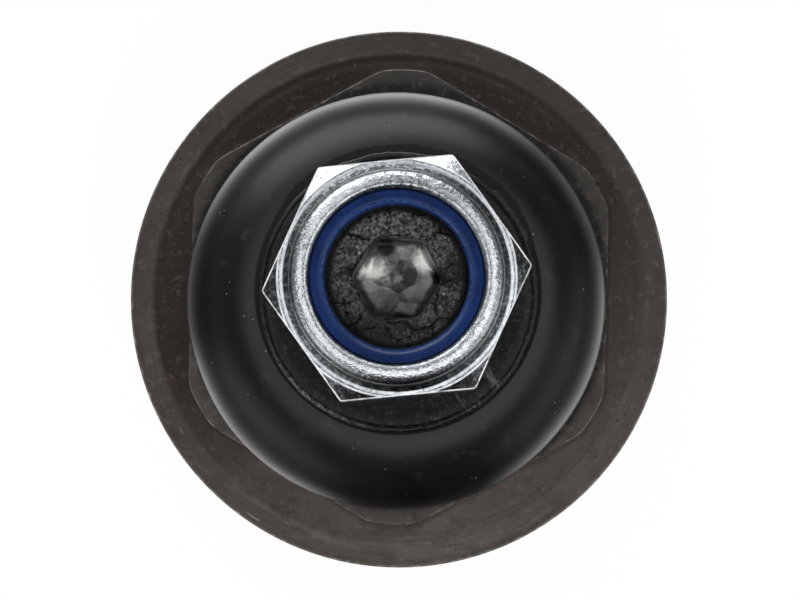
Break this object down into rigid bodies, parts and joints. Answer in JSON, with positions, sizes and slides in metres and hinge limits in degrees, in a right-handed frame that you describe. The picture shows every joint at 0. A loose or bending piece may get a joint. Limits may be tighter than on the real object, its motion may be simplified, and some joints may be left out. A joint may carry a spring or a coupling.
{
  "type": "suspension ball joint",
  "caption": "Screw-in suspension ball joint: a flanged hex body holds a swinging taper stud under a rubber boot, with a nylon-insert lock nut on its end.",
  "frame": {"origin": "centre of the flange's underside, the face that seats on the arm", "axes": "+Z along the stud from the ball to the nut, at the stud's middle position; +X and +Y across the flange"},
  "size_m": [0.06, 0.06, 0.0936],
  "materials": {
    "phosphated_steel": "phosphated and oiled, satin",
    "cap_steel": "pressed, oiled",
    "spring_steel": "blued",
    "acetal": "moulded, greased",
    "forged_steel": "phosphated forging, rough end face",
    "rubber": "smooth satin",
    "wire": "drawn wire",
    "blue_nylon": "moulded, satin",
    "zinc": "bright zinc plate"
  },
  "bodies": {
    "body": {"housing": "phosphated_steel", "end_cap": "cap_steel", "disc_spring": "spring_steel", "thrust_washer": "spring_steel", "boot_lower_clip": "wire"},
    "bearing": {"upper_bearing": "acetal", "lower_bearing": "acetal", "boot": "rubber"},
    "lean": {"boot_upper_clip": "wire"},
    "stud": {"ball_stud": "forged_steel"},
    "nut_carrier": {"nylon_insert": "blue_nylon"},
    "nut": {"lock_nut": "zinc"}
  },
  "joints": [
    {"name": "swivel", "type": "hinge", "parent": "body", "child": "bearing", "pos_m": [0, 0, 0.005], "axis": [0, 0, 1], "continuous": true},
    {"name": "tilt", "type": "hinge", "parent": "bearing", "child": "lean", "pos_m": [0, 0, 0.005], "axis": [1, 0, 0], "range_deg": [-25, 25], "deforming": ["boot"]},
    {"name": "spin", "type": "hinge", "parent": "lean", "child": "stud", "pos_m": [0, 0, 0.005], "axis": [0, 0, 1], "continuous": true},
    {"name": "nut_travel", "type": "slide", "parent": "stud", "child": "nut_carrier", "axis": [0, 0, 1], "range_m": [-0.006, 0.012], "deforming": ["nylon_insert"]},
    {"name": "nut_turn", "type": "hinge", "parent": "nut_carrier", "child": "nut", "pos_m": [0, 0, 0.0657], "axis": [0, 0, 1], "range_deg": [-1440, 2880]}
  ],
  "couplings": [
    {"joint": "nut_travel", "follows": "nut_turn", "m_per_rad": 0.00023873}
  ]
}
